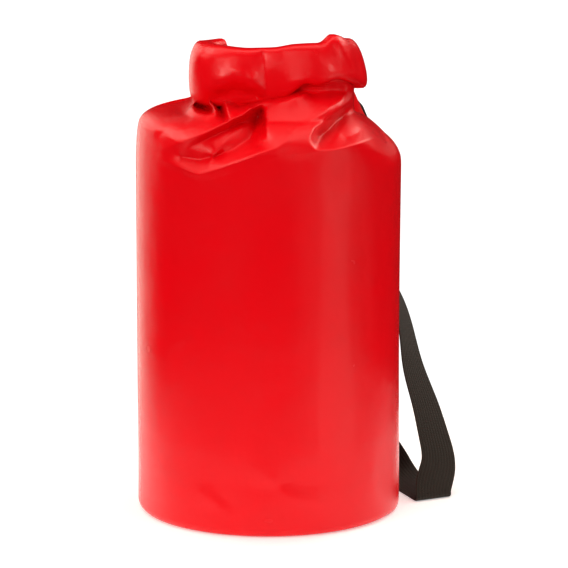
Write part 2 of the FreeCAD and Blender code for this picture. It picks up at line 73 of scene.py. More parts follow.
# ---------------------------------------------------------------- camera and light
WARM = (1.0, 0.88, 0.78)
WORLD_LIGHT, WORLD_MIRRORED = 0.30, 0.02  # the world's strength to light with, and in reflections
VIEW_TILT = math.radians(12.5)
VIEW_FAR, VIEW_AT = 4.0, Vector((0.0148, 0.0, 0.2166))
VIEW_LENS, VIEW_SENSOR = 265.7, 36.0
MID_HEIGHT = 0.220  # the height at which the front elevation is true to scale
camera = bpy.data.objects.new("camera", bpy.data.cameras.new("camera"))
bpy.context.scene.collection.objects.link(camera)
camera.data.lens, camera.data.sensor_width = VIEW_LENS, VIEW_SENSOR
camera.data.clip_start, camera.data.clip_end = 0.1, 60.0
away = Vector((0.0, -math.cos(VIEW_TILT), math.sin(VIEW_TILT)))
camera.location = VIEW_AT + away * VIEW_FAR
camera.rotation_mode = "QUATERNION"
camera.rotation_quaternion = (-away).to_track_quat("-Z", "Y")
bpy.context.scene.camera = camera


def elevation(points):
    """Across and up on the front elevation, as the camera sees the points, in mm at the axis."""
    p = np.asarray(points) - np.array([0.0, 0.0, MID_HEIGHT])
    c, s = math.cos(VIEW_TILT), math.sin(VIEW_TILT)
    scale = VIEW_FAR / (VIEW_FAR + p[..., 1] * c - p[..., 2] * s) / MM
    return p[..., 0] * scale, MID_HEIGHT / MM + (p[..., 1] * s + p[..., 2] * c) * scale


def softbox(name, azimuth, height, far, size, power, aim):
    """An area light at an azimuth from the camera's side towards +X, aimed at a height on the axis."""
    data = bpy.data.lights.new(name, "AREA")
    data.shape, data.size, data.size_y = "RECTANGLE", size[0], size[1]
    data.energy, data.color = power, WARM
    light = bpy.data.objects.new(name, data)
    bpy.context.scene.collection.objects.link(light)
    a = math.radians(azimuth)
    light.location = (far * math.sin(a), -far * math.cos(a), height)
    to = Vector((0, 0, aim)) - light.location
    light.rotation_euler = to.to_track_quat("-Z", "Y").to_euler()


def studio_world():
    """White to look at, soft to light with, and dim in reflections, so that the red stays deep."""
    world = bpy.data.worlds.new("studio")
    world.use_nodes = True
    tree = world.node_tree
    ground = tree.nodes["Background"]
    rays = tree.nodes.new("ShaderNodeLightPath")
    glossy = tree.nodes.new("ShaderNodeMapRange")
    glossy.inputs[3].default_value, glossy.inputs[4].default_value = WORLD_LIGHT, WORLD_MIRRORED
    tree.links.new(rays.outputs["Is Glossy Ray"], glossy.inputs[0])
    seen = tree.nodes.new("ShaderNodeMath")
    seen.operation = "MAXIMUM"
    tree.links.new(rays.outputs["Is Camera Ray"], seen.inputs[0])
    tree.links.new(glossy.outputs[0], seen.inputs[1])
    tree.links.new(seen.outputs[0], ground.inputs[1])
    ground.inputs[0].default_value = (1.0, 1.0, 1.0, 1.0)
    bpy.context.scene.world = world


studio_world()
bpy.context.scene.view_settings.view_transform = "Standard"
bpy.context.scene.view_settings.look = "Medium High Contrast"
softbox("softbox_back_left", -148, 0.15, 1.6, (0.9, 1.8), 7, aim=0.15)
softbox("softbox_right", 60, 0.05, 1.5, (0.95, 0.9), 3.6, aim=0.2)
softbox("softbox_front", -30, 1.15, 1.7, (0.9, 0.35), 9, aim=0.42)
softbox("softbox_roll_left", -48, 0.78, 1.5, (0.55, 0.30), 5, aim=0.42)
softbox("softbox_roll_right", 46, 0.74, 1.5, (0.40, 0.26), 3, aim=0.42)
softbox("softbox_top", 180, 1.5, 0.15, (2.2, 0.8), 8.5, aim=0.25)
softbox("softbox_right_high", 130, 1.1, 1.2, (0.8, 0.6), 7, aim=0.36)
softbox("softbox_left_high", -118, 1.35, 1.3, (0.6, 0.6), 5, aim=0.36)


# ---------------------------------------------------------------- materials
def new_material(name):
    m = bpy.data.materials.new(name)
    m.use_nodes = True
    return m, m.node_tree, m.node_tree.nodes["Principled BSDF"]


def add(tree, kind, **values):
    node = tree.nodes.new(kind)
    for key, value in values.items():
        if key.startswith("in_"):
            node.inputs[int(key[3:])].default_value = value
        else:
            setattr(node, key, value)
    return node


def maths(tree, operation, a, b=None):
    node = add(tree, "ShaderNodeMath", operation=operation)
    for k, value in enumerate((a, b)):
        if value is None:
            continue
        if isinstance(value, (int, float)):
            node.inputs[k].default_value = value
        else:
            tree.links.new(value, node.inputs[k])
    return node.outputs[0]


def cloth_axes(tree):
    """The cloth's own coordinates, in metres."""
    axes = add(tree, "ShaderNodeSeparateXYZ")
    tree.links.new(add(tree, "ShaderNodeUVMap", uv_map="UVMap").outputs[0], axes.inputs[0])
    return axes.outputs[0], axes.outputs[1]


def wave(tree, value, pitch):
    return maths(tree, "SINE", maths(tree, "MULTIPLY", value, 2 * math.pi / pitch))


def cloud(tree, scale, detail, roughness):
    """Noise in the object's own space."""
    node = add(tree, "ShaderNodeTexNoise", in_2=scale, in_3=detail, in_4=roughness)
    tree.links.new(add(tree, "ShaderNodeTexCoord").outputs["Object"], node.inputs[0])
    return node.outputs[0]


def layered(tree, *layers):
    """The sum of (height, depth in metres) pairs."""
    total = maths(tree, "MULTIPLY", *layers[0])
    for height, depth in layers[1:]:
        total = maths(tree, "ADD", total, maths(tree, "MULTIPLY", height, depth))
    return total


def bumped(tree, bsdf, height, depth=1.0):
    bump = add(tree, "ShaderNodeBump", in_0=1.0, in_1=depth)
    tree.links.new(height, bump.inputs["Height"])
    tree.links.new(bump.outputs[0], bsdf.inputs["Normal"])


def tinted(tree, bsdf, factor, first, second):
    tint = add(tree, "ShaderNodeMix", data_type="RGBA")
    tint.inputs[6].default_value, tint.inputs[7].default_value = (*first, 1), (*second, 1)
    tree.links.new(factor, tint.inputs[0])
    tree.links.new(tint.outputs[2], bsdf.inputs["Base Color"])


def mapped(tree, value, low, high, new_low, new_high):
    node = add(tree, "ShaderNodeMapRange", in_1=low, in_2=high, in_3=new_low, in_4=new_high)
    tree.links.new(value, node.inputs[0])
    return node.outputs[0]


def shades(colour, dark, light):
    return [c * dark for c in colour], [c * light for c in colour]


def coated_fabric(name="coated_fabric", knurl=0.0):
    """Glossy PVC on a square weave; knurl is the pitch of the pattern that welding presses in."""
    m, t, bsdf = new_material(name)
    u, v = cloth_axes(t)
    pitch = 0.0016
    weave = maths(t, "MULTIPLY", wave(t, maths(t, "ADD", u, v), pitch),
                  wave(t, maths(t, "SUBTRACT", u, v), pitch))
    uneven, grain = cloud(t, 26.0, 3.0, 0.45), cloud(t, 900.0, 2.0, 0.6)
    layers = [(weave, 0.00005), (uneven, 0.0016), (grain, 0.00002)]
    if knurl:
        layers.append((maths(t, "MULTIPLY", wave(t, u, knurl), wave(t, v, knurl)), 0.00007))
    bumped(t, bsdf, layered(t, *layers))
    tinted(t, bsdf, uneven, (0.82, 0.001, 0.009), (0.74, 0.001, 0.007))
    t.links.new(mapped(t, uneven, 0.0, 1.0, 0.14, 0.32), bsdf.inputs["Roughness"])
    bsdf.inputs["Specular IOR Level"].default_value = 0.36
    bsdf.inputs["Coat Weight"].default_value = 0.15
    bsdf.inputs["Coat Roughness"].default_value = 0.12
    return m


def webbing(name, colour, ribs):
    """Woven tape: ribs along its length, at their pitch, and picks across it; its tint is painted
    highlight on the raised threads and painted shade between them.
    """
    m, t, bsdf = new_material(name)
    u, v = cloth_axes(t)
    pick_pitch, pick_sway = 0.0017, 1.3
    rib = wave(t, u, ribs)
    pick = maths(t, "SINE", maths(t, "ADD", maths(t, "MULTIPLY", v, 2 * math.pi / pick_pitch),
                                  maths(t, "MULTIPLY", rib, pick_sway)))
    bumped(t, bsdf, layered(t, (rib, 0.00011), (pick, 0.00009), (cloud(t, 700.0, 2.0, 0.6), 0.00016)))
    # painted shade and highlight: the tint is lighter on the tops of the ribs and picks and darker in
    # the grooves between them, following the bump
    painted_weave_shade = mapped(t, maths(t, "MULTIPLY", maths(t, "ADD", rib, pick), 0.5), -1.0, 1.0, 0.0, 1.0)
    tinted(t, bsdf, painted_weave_shade, *shades(colour, 0.75, 1.2))
    bsdf.inputs["Roughness"].default_value = 0.72
    bsdf.inputs["Specular IOR Level"].default_value = 0.35
    bsdf.inputs["Sheen Weight"].default_value = 0.12
    bsdf.inputs["Sheen Roughness"].default_value = 0.5
    return m


def moulded(name, colour, roughness=0.42):
    """Moulded plastic with a fine spark-eroded grain and slightly polished places."""
    m, t, bsdf = new_material(name)
    worn = cloud(t, 120.0, 3.0, 0.5)
    bumped(t, bsdf, cloud(t, 1400.0, 2.0, 0.5), 0.00006)
    t.links.new(mapped(t, worn, 0.3, 0.7, roughness - 0.1, roughness + 0.1), bsdf.inputs["Roughness"])
    tinted(t, bsdf, worn, *shades(colour, 0.8, 1.25))
    return m


FABRIC = coated_fabric()
WELDED = coated_fabric("welded_fabric", knurl=0.0028)
STRAP = webbing("strap_webbing", (0.026, 0.021, 0.015), 0.0032)
TAPE = webbing("closure_webbing_black", (0.016, 0.015, 0.014), 0.0022)
PLASTIC = moulded("black_acetal", (0.012, 0.012, 0.012))
THREAD = moulded("thread", (0.022, 0.020, 0.018), 0.6)
STIFF = moulded("stiffener_plastic", (0.45, 0.45, 0.42))


# ---------------------------------------------------------------- mesh helpers
def smooth01(x):
    x = np.clip(x, 0.0, 1.0)
    return x * x * (3 - 2 * x)


def grid_object(name, points, uv, material, wrap=False, cap_first=False, cap_last=False):
    """A smooth mesh from rows and columns of points, with a UV in metres; wrap joins the columns."""
    rows, cols = points.shape[:2]
    index = np.arange(rows * cols).reshape(rows, cols)
    across = cols if wrap else cols - 1
    a = index[:-1, :across]
    b = np.roll(index, -1, axis=1)[:-1, :across]
    c = np.roll(index, -1, axis=1)[1:, :across]
    d = index[1:, :across]
    faces = np.stack([a, b, c, d], -1).reshape(-1, 4)
    polygons = [tuple(f) for f in faces.tolist()]
    if cap_first:
        polygons.append(tuple(index[0][::-1].tolist()))
    if cap_last:
        polygons.append(tuple(index[-1].tolist()))
    mesh = bpy.data.meshes.new(name)
    mesh.from_pydata(points.reshape(-1, 3).tolist(), [], polygons)
    layer = mesh.uv_layers.new(name="UVMap")
    flat = uv.reshape(rows, -1, 2)
    loops = np.zeros((len(mesh.loops), 2), np.float32)
    r, q = np.divmod(np.arange(len(faces)), across)
    corners = ((r, q), (r, q + 1), (r + 1, q + 1), (r + 1, q))
    for slot_at, (rr, qq) in enumerate(corners):
        loops[slot_at:4 * len(faces):4] = flat[rr, qq]
    k = 4 * len(faces)
    for extra in polygons[len(faces):]:
        for vertex in extra:
            loops[k] = points.reshape(-1, 3)[vertex][:2]
            k += 1
    layer.data.foreach_set("uv", loops.ravel())
    mesh.polygons.foreach_set("use_smooth", np.ones(len(mesh.polygons), bool))
    mesh.materials.append(material)
    mesh.validate()
    mesh.update()
    obj = bpy.data.objects.new(name, mesh)
    bpy.context.scene.collection.objects.link(obj)
    return obj


def outward(obj):
    """Turns every face outwards."""
    bm = bmesh.new()
    bm.from_mesh(obj.data)
    bmesh.ops.recalc_face_normals(bm, faces=bm.faces)
    bm.to_mesh(obj.data)
    bm.free()
    return obj


# ---------------------------------------------------------------- the closure ring's line
def ring_table():
    """Points, outward directions and distance along the middle of the roll."""
    (left, right), (front, back) = RING_X, RING_Y
    quarter = math.pi / 2
    start = math.acos((ROLL_ENDS[0] - left) / RING_R)
    end = math.acos((ROLL_ENDS[1] - right) / RING_R)
    turns = [((left, back), start, math.pi), ((left, front), math.pi, math.pi + quarter),
             ((right, front), -quarter, 0.0), ((right, back), 0.0, end)]
    at, out = [], []
    for (cx, cy), a0, a1 in turns:
        for a in np.linspace(a0, a1, 40):  # 40 points to a corner
            at.append((cx + RING_R * math.cos(a), cy + RING_R * math.sin(a)))
            out.append((math.cos(a), math.sin(a)))
    at, out = np.array(at), np.array(out)
    run = np.concatenate([[0], np.cumsum(np.linalg.norm(np.diff(at, axis=0), axis=1))])
    return at, out, run


RING_AT, RING_OUT, RING_RUN = ring_table()
ROLL_LENGTH = RING_RUN[-1]


def ring(s):
    """(x, y), (outward x, y) and drop at distances s along the roll from its left end."""
    s = np.asarray(s, float)
    xy = np.stack([np.interp(s, RING_RUN, RING_AT[:, k]) for k in (0, 1)], -1)
    out = np.stack([np.interp(s, RING_RUN, RING_OUT[:, k]) for k in (0, 1)], -1)
    out /= np.linalg.norm(out, axis=-1, keepdims=True)
    share = np.clip(np.minimum(s, ROLL_LENGTH - s) / DROP_LENGTH, 0, 1)
    return xy, out, END_DROP * (1 - share * share * (3 - 2 * share))


# ---------------------------------------------------------------- folds on the front of the shoulder
# Each line runs through (across, up, proud) in mm on the front elevation: ridges stand proud of
# the smooth shoulder, valleys are below it.
FOLDS = {
    "left_pocket": [(-70.1, 388.4, -20), (-63.5, 386.5, -40), (-57.7, 384.6, -40), (-53.9, 381.7, -22)],
    "left_pocket_rim": [(-59.6, 396, 6), (-55.8, 391.3, 8), (-52, 385.6, 8), (-49.1, 378.9, 6)],
    "left_pocket_lip": [(-73, 384.6, 3), (-69.2, 379.8, 5), (-60.6, 377.4, 6), (-52, 377.9, 6)],
    "left_pocket_top": [(-74.9, 387.5, 2), (-69.2, 392.2, 3), (-62.5, 394.1, 3)],
    "left_gash": [(-53, 394.1, -18), (-47.2, 386.5, -26), (-42.5, 377.9, -18), (-38.6, 372.2, -2)],
    "left_fold": [(-44.4, 396, 0), (-40.6, 388.4, 3), (-38.6, 380.8, 6), (-36.7, 374.1, 9)],
    "under_arch": [(-34.8, 392.2, -8), (-27.2, 387.5, -12), (-17.7, 390.3, -14), (-8.1, 392.2, -10)],
    "long_ridge": [(-11, 386.5, 5), (-16.7, 383.6, 8), (-23.4, 377.9, 10), (-36.7, 372.2, 12),
        (-60.6, 359.8, 11), (-84.4, 351.2, 8), (-98.8, 345.5, 5), (-106.4, 341.7, 2)],
    "long_undercut": [(-11.9, 381.7, -10), (-20.5, 374.1, -13), (-34.8, 366.5, -10), (-58.7, 354.1, -3),
        (-74.9, 347.4, 0)],
    "low_ridge_left": [(-106.4, 341.7, 2), (-102.6, 336.9, 4), (-95.9, 333.1, 5), (-84.4, 328.3, 5.5),
        (-66.3, 320.7, 6)],
    "low_ridge_right": [(-66.3, 320.7, 6), (-46.3, 327.3, 6.5), (-27.2, 334, 7.5), (-6.2, 341.7, 9),
        (9.1, 346.4, 9.5), (17.7, 352.2, 9.5), (20.5, 358.8, 9), (19.6, 362.7, 7)],
    "under_ridge": [(-99.7, 328.3, 2.8), (-82.5, 320.7, 3.2), (-65.4, 312.1, 3.6), (-41.5, 318.8, 4.2),
        (-17.7, 326.4, 5), (6.2, 335.9, 6.2), (28.1, 344.5, 6.6)],
    "hollow": [(-10, 378.9, -18), (-11.9, 368.4, -28), (-17.7, 356, -26), (-32, 346.4, -18),
        (-49.1, 338.8, -11), (-65.4, 335, -6), (-81.6, 337.8, -2)],
    "hollow_rib": [(-24.3, 366.5, -13), (-38.6, 356.9, -10), (-46.3, 346.4, -7), (-53.9, 336.9, -4),
        (-57.7, 327.3, 2)],
    "pleat_inside": [(-6.2, 382.7, -14), (-5.2, 373.1, -20), (-6.2, 361.7, -20), (-9.1, 349.3, -8)],
    "pleat_edge": [(-2.4, 382.7, 4), (-1.4, 373.1, 3), (-0.5, 363.6, 0), (-0.5, 354.1, -2)],
    "fan_ridge": [(-2.4, 382.7, 3), (11, 388.4, 8), (25.3, 393.2, 7), (36.7, 398, -2)],
    "knot": [(-14.8, 385.6, 2), (-6.2, 388.4, 4), (1.4, 391.3, 3), (8.1, 394.1, 0)],
    "right_crest": [(73, 395.1, -2), (66.3, 388.4, 6), (53.9, 379.8, 10), (41.5, 372.2, 11),
        (30.1, 366.5, 10), (21.5, 360.7, 8)],
    "s_ridge": [(76.8, 391.3, -2), (70.1, 385.6, 6), (56.8, 375.1, 8), (43.4, 363.6, 8), (39.6, 356, 8),
        (40.6, 350.2, 8), (45.3, 344.5, 8)],
    "s_valley": [(81.6, 386.5, -14), (72, 378.9, -22), (59.6, 366.5, -26), (50.1, 357.9, -24),
        (48.2, 352.2, -10)],
    "scoop": [(45.3, 344.5, 8), (58.7, 343.6, 9), (73, 346.4, 9), (87.3, 351.2, 8), (101.6, 356, 5),
        (112.1, 360.7, 1)],
    "right_hollow": [(84.4, 384.6, -12), (77.8, 373.1, -15), (68.2, 361.7, -14), (74.9, 356, -9),
        (87.3, 362.7, -8)],
    "right_plane": [(93, 375.1, -4), (101.6, 368.4, -1), (100.7, 361.7, 0)],
    "left_crease": [(-113.1, 348.3, 1), (-111.2, 357.9, 2), (-105.4, 366.5, 3), (-97.8, 372.2, 2)],
    "left_swell": [(-103.5, 358.8, 1), (-89.2, 368.4, 3), (-74.9, 375.1, 2)],
    "under_arches": [(13.8, 400.8, -14), (26.2, 401.8, -15), (45.3, 399.9, -14), (61.5, 401.8, -15),
        (74, 400.8, -12)],
}

# soft unevenness of the stuffed wall, in the same measures
WALL = {
    "right_rib": [(116.9, 315.9, 0), (117.8, 296.8, 1.2), (115.9, 268.2, 1.5), (117.8, 237.7, 1),
        (116.9, 210.9, 0)],
    "right_dip": [(109.3, 311.1, 0), (108.3, 282.5, -1.5), (110.2, 249.1, -1.2), (109.3, 215.7, 0)],
    "low_right": [(109.3, 67.8, 0), (113.1, 53.5, -1.5), (110.2, 34.4, -2.5), (112.1, 15.3, -1)],
    "low_right_rib": [(100.7, 58.3, 0), (98.8, 39.2, 1.2), (102.6, 18.2, 1)],
    "low_left_a": [(-69.2, 22, 0), (-59.6, 14.4, 1.5), (-48.2, 5.8, 2), (-34.8, -1.9, 0.5)],
    "low_left_b": [(-52, 16.3, 0), (-42.5, 7.7, -1.5), (-27.2, 0.1, -0.5)],
    "low_mid": [(-17.7, 39.2, 0), (15.7, 18.2, 1.5), (58.7, 4.8, 1.5)],
    "low_band": [(-103.5, 31.5, 0), (-36.7, 23.9, -1), (39.6, 21, -1), (92.1, 28.7, 0)],
    "left_vertical": [(-105.4, 325.4, 0), (-103.5, 268.2, -1.2), (-106.4, 201.4, -0.8),
        (-103.5, 125.1, 0)],
    "right_vertical": [(51, 330.2, 0), (58.7, 296.8, 1.2), (68.2, 239.6, 1.5), (73, 172.8, 1),
        (73, 106, 0)],
    "right_hollow_wall": [(83.5, 315.9, 0), (89.2, 277.7, -1.2), (93, 220.5, -1.2), (94.9, 153.7, -0.8),
        (93, 96.4, 0)],
}


def edge_line(table, s):
    """The roll's edge at distances s along it, in metres, from a table in mm, with softened corners."""
    share = np.linspace(-0.06, 1.06, 449)
    line = np.interp(share, *zip(*table))
    kernel = np.hanning(17)
    line = np.convolve(np.pad(line, 8, mode="edge"), kernel / kernel.sum(), "valid")
    return np.interp(np.asarray(s) / ROLL_LENGTH, share, line) * MM


class Relief:
    """A stretched membrane over fold lines, as a height map on the front elevation."""

    def __init__(self, lines, box, passes, soften):
        self.u0, self.u1, self.v0, self.v1 = box
        cols, rows = int(self.u1 - self.u0) + 1, int(self.v1 - self.v0) + 1
        fixed = np.full((rows, cols), np.nan)
        fixed[0, :] = fixed[-1, :] = fixed[:, 0] = fixed[:, -1] = 0.0
        for line in lines:
            line = np.array(line, float)
            for a, b in zip(line[:-1], line[1:]):
                steps = int(np.abs(b[:2] - a[:2]).max() * 2) + 2
                for k in np.linspace(0, 1, steps):
                    u, v, h = a + (b - a) * k
                    i, j = int(round(v - self.v0)), int(round(u - self.u0))
                    if 0 <= i < rows and 0 <= j < cols:
                        fixed[i, j] = h
        held = ~np.isnan(fixed)
        field = np.where(held, fixed, 0.0)
        for _ in range(passes):
            mean = (np.roll(field, 1, 0) + np.roll(field, -1, 0) + np.roll(field, 1, 1)
                    + np.roll(field, -1, 1)) / 4
            field = np.where(held, fixed, mean)
        for _ in range(soften):
            field = (field * 4 + np.roll(field, 1, 0) + np.roll(field, -1, 0)
                     + np.roll(field, 1, 1) + np.roll(field, -1, 1)) / 8
        self.field = field

    def at(self, u, v):
        rows, cols = self.field.shape
        x = np.clip(u - self.u0, 0, cols - 1.001)
        y = np.clip(v - self.v0, 0, rows - 1.001)
        i, j = y.astype(int), x.astype(int)
        fy, fx = y - i, x - j
        f = self.field
        return ((f[i, j] * (1 - fx) + f[i, j + 1] * fx) * (1 - fy)
                + (f[i + 1, j] * (1 - fx) + f[i + 1, j + 1] * fx) * fy)


def proud(points, relief, weight):
    """Moves points along the line of sight, so that their place in the front view stays."""
    u, v = elevation(points)
    move = relief.at(u, v) * MM * weight
    return points + move[..., None] * np.array(away)


# how far the roll's top and bottom edges stand above plain, in mm, against the share of its length
ROLL_TOP = [(0, 10), (0.06, 9), (0.14, 6), (0.22, 3), (0.28, 0), (0.33, 0), (0.40, -2), (0.47, -1),
            (0.51, 2), (0.555, 3), (0.585, 3), (0.615, 12), (0.66, 5), (0.72, 2), (0.80, 1), (0.88, 0),
            (0.94, -3), (1, -6)]
ROLL_LOW = [(0, -2), (0.1, -10), (0.2, -15), (0.33, -15), (0.38, -11), (0.47, -9), (0.50, -4),
            (0.54, 10), (0.567, 6), (0.61, 12), (0.667, 4), (0.70, -3), (0.8, -2), (1, 0)]
ROLL_FOLDS = {
    "left_corner": [(-62.5, 440.9, 5), (-66.3, 434.2, 8), (-70.1, 426.6, 8.5), (-71.1, 413.2, 7),
        (-69.2, 399.9, 4)],
    "left_face": [(-53.9, 436.1, 5), (-34.8, 428.5, 5), (-17.7, 420.9, 4)],
    "seam_left": [(-7.2, 438, 1.2), (-6.2, 420.9, 2.2), (-5.7, 403.7, 0.5)],
    "seam_right": [(-4.7, 438, -0.2), (-3.9, 420.9, 0.6), (-3.3, 403.7, -1)],
    "right_face": [(12.9, 438, 2), (30.1, 434.2, 4), (51, 428.5, 5.5), (66.3, 420.9, 6)],
    "top_fold": [(-60.6, 438, 2), (-41.5, 437.1, 3.5), (-22.4, 438, 4), (-0.5, 439, 3.5),
        (20.5, 439.9, 4.5), (41.5, 444.7, 5), (56.8, 452.3, 4)],
    "right_break": [(59.6, 453.3, 6), (63.5, 441.9, 1), (67.3, 430.4, 4), (72, 417, 7),
        (76.8, 401.8, 5)],
    "right_tip": [(78.7, 445.7, 2), (83.5, 432.3, -1), (88.3, 419, -2), (89.2, 407.5, 0)],
    "right_corner": [(59.6, 451.4, 3), (68.2, 443.8, 5), (77.8, 432.3, 6), (82.5, 415.1, 5),
        (78.7, 399.9, 2)],
    "lip_left": [(-65.4, 395.1, 3), (-59.6, 398.9, 6), (-50.1, 405.6, 9), (-36.7, 410.4, 11),
        (-23.4, 411.3, 11), (-12.9, 406.5, 9), (-4.3, 401.8, 4)],
    "lobe": [(-55.8, 395.1, -2), (-44.4, 398, -10), (-31, 399.9, -12), (-17.7, 398.9, -11),
        (-6.2, 395.1, -6)],
    "arch_left": [(19.6, 402.7, 3), (26.2, 408.5, 5), (32.9, 409.9, 6), (39.6, 408.5, 6),
        (45.3, 404.6, 5)],
    "arch_right": [(45.3, 404.6, 5), (52, 409.4, 6), (60.6, 411.3, 6), (68.2, 408.5, 5), (74, 403.7, 4)],
}


# ---------------------------------------------------------------- the bag's skin
HEM = 0.0014  # where the wall's lower edge ends, above the floor
WALL_R = BAG_R + 0.0006
WALL_TOP = 0.336  # where the shoulder starts, at the back
CREST = 0.390  # the shoulder's highest level
OVER = 0.072  # how far in from the wall the shoulder stops rising
NECK_RUN = 0.040  # how far from the roll the skin starts up to it


def cumulative(steps):
    """Distances along a line from the lengths of its steps."""
    return np.concatenate([[0], np.cumsum(steps)])


def slack(points):
    """How far the stuffed wall stands out from a plain cylinder, in metres."""
    p = np.asarray(points)
    seed = (p * np.array([7.0, 7.0, 3.4])).reshape(-1, 3)
    ripple = np.array([noise.noise(Vector(q)) for q in seed]).reshape(p.shape[:-1])
    z = p[..., 2]
    return ripple * 0.0016 * smooth01((z - 0.01) / 0.05) * smooth01((0.40 - z) / 0.05)


def gathers(theta, along):
    """How far the skin sinks between the gathers at the back and sides, where the front folds end."""
    rear = smooth01((np.abs(np.degrees(theta)) - 78) / 22)
    wave = (np.sin(theta * 11 + 0.7 * np.sin(theta * 3)) + 0.6 * np.sin(theta * 19 + 1.3)
            + 0.35 * np.sin(theta * 31 + 2.1))
    crisp = np.sign(wave) * np.abs(wave) ** 0.8
    depth = 0.0045 * smooth01((along - 0.25) / 0.6) * (1 - 0.7 * smooth01((along - 0.9) / 0.1))
    return depth * (crisp - 1.0) * rear


def skin():
    """Wall, shoulder and gathered neck in one sheet, in rows from the base weld up to the roll."""
    cols = 660
    theta = np.linspace(-math.pi, math.pi, cols, endpoint=False)
    circle = np.stack([np.sin(theta), -np.cos(theta)], -1)
    degrees = np.degrees(theta)
    # the top row follows the roll: its front half outside, its back half inside
    front = np.abs(theta) <= math.pi / 2
    wrapped = np.where(theta > 0, theta, theta + 2 * math.pi)
    s = np.where(front, (theta / math.pi + 0.5) * ROLL_LENGTH,
                 (1.5 - wrapped / math.pi) * ROLL_LENGTH)
    xy, out, drop = ring(s)
    flank = smooth01((degrees - 32) / 26) * smooth01((150 - degrees) / 30)
    layer = 0.0045 * np.clip(np.cos(theta) * 5, -1, 1) * (1 - flank) - 0.003 * flank
    neck = xy + out * layer[:, None]
    neck_z = ROLL_Z[0] - drop + 0.006 + edge_line(ROLL_LOW, s)

    # wall: from the base weld up to where the shoulder starts
    right = smooth01((degrees - 35) / 40) * smooth01((150 - degrees) / 40)
    left = smooth01((-25 - degrees) / 35) * smooth01((150 + degrees) / 40)
    behind = smooth01((np.abs(degrees) - 85) / 30)
    facing = smooth01((75 - np.abs(degrees)) / 35)
    start = (WALL_TOP + 0.014 * facing + 0.012 * left * (1 - facing)
             + 0.005 * right * (1 - facing))
    weld_top = 0.020  # levels below this are heights, the others are shares of the wall's height
    levels = np.concatenate([np.linspace(HEM, 0.018, 16), np.linspace(0.06, 0.78, 60),
                             np.linspace(0.783, 1.0, 90)])
    square = 0.0075 - 0.0045 * smooth01((degrees - 60) / 20) * smooth01((115 - degrees) / 15)
    rows = []
    for level in levels:
        z = np.full(cols, level) if level < weld_top else level * start
        turn = np.sqrt(np.clip(1 - np.clip(1 - z / 0.008, 0, 1) ** 2, 0, 1))
        r = WALL_R - square * (1 - turn)
        rows.append(np.concatenate([circle * r[:, None], z[:, None]], -1))
    lip = rows[0].copy()
    lip[:, :2] -= circle * 0.0011
    rows.insert(0, lip)

    # shoulder: over to the roll
    reach = np.linalg.norm(neck - circle * BAG_R, axis=-1)
    crest = CREST - 0.003 * left - 0.013 * right - 0.007 * behind * (1 - 0.7 * right)
    power = 2.4 + 2.2 * left - 0.9 * right
    over = np.minimum(reach, OVER)
    neck_run = NECK_RUN - 0.018 * flank
    count = 96
    for k in range(1, count + 1):
        d = (1 - math.cos((k / count) * math.pi / 2)) * reach
        x = np.clip(d / over, 0, 1)
        rise = (1 - (1 - x) ** power) ** (1 / power)
        tail = smooth01((d - (reach - neck_run)) / neck_run)
        z = start + (crest - start) * rise + (neck_z - crest) * tail
        flat = circle * BAG_R + (neck - circle * BAG_R) * (d / reach)[:, None]
        rows.append(np.concatenate([flat, z[:, None]], -1))
    p = np.stack(rows)

    # the turn from wall to shoulder, eased so that no line shows
    first, last = len(levels) - 20, len(levels) + 16
    for _ in range(60):
        p[first:last] = (p[first - 1:last - 1] + 2 * p[first:last] + p[first + 1:last + 1]) / 4
    radial_out = np.concatenate([circle, np.zeros((cols, 1))], -1)
    p = p + slack(p)[..., None] * radial_out
    along = np.zeros(p.shape[:2])
    along[len(levels) + 1:] = (np.arange(1, count + 1) / count)[:, None]
    p[..., 2] += gathers(theta, along)

    # folds on the front
    weight = np.broadcast_to(smooth01((97 - np.abs(degrees)) / 14), p.shape[:2])
    p = proud(p, Relief(FOLDS.values(), (-135, 135, 255, 415), passes=1400, soften=1), weight)
    p = proud(p, Relief(WALL.values(), (-124, 124, 0, 330), passes=900, soften=25), weight)

    # UV: round the wall and up the cloth
    steps = np.linalg.norm(np.diff(p, axis=0), axis=-1)
    lengths = np.concatenate([np.zeros((1, cols)), np.cumsum(steps, 0)])
    lengths = np.concatenate([lengths, lengths[:, :1]], 1)
    round_it = np.broadcast_to(np.linspace(0, 2 * math.pi * BAG_R, cols + 1), lengths.shape)
    return grid_object("bag_skin", p, np.stack([round_it, lengths], -1), FABRIC, wrap=True)


def base_panel():
    """The round base, turned up at its edge and welded inside the wall."""
    flat_r, bend, around = 0.1170, 0.0062, 240
    flat = [(r, 0.0003 + 0.0011 * (1 - (r / flat_r) ** 4)) for r in np.linspace(0.002, 0.1165, 40)]
    corner = [(flat_r + bend * math.sin(a), 0.0064 - bend * math.cos(a))
              for a in np.radians(np.linspace(0, 90, 14))]
    profile = np.array(flat + corner + [(0.1231, 0.018), (0.1230, 0.026)])
    turn = np.linspace(0, 2 * math.pi, around + 1)[:-1]
    p = np.zeros((len(profile), around, 3))
    p[..., 0] = profile[:, :1] * np.sin(turn)
    p[..., 1] = -profile[:, :1] * np.cos(turn)
    p[..., 2] = profile[:, 1:]
    dimple = np.array([noise.noise(Vector(q)) for q in (p * 18).reshape(-1, 3)]).reshape(p.shape[:2])
    p[..., 2] += np.abs(dimple) * 0.0011 * smooth01((0.11 - profile[:, :1]) / 0.03)
    uv = np.concatenate([p[..., :2], p[:, :1, :2]], 1)
    return grid_object("base_panel", p, uv, FABRIC, wrap=True, cap_first=True)


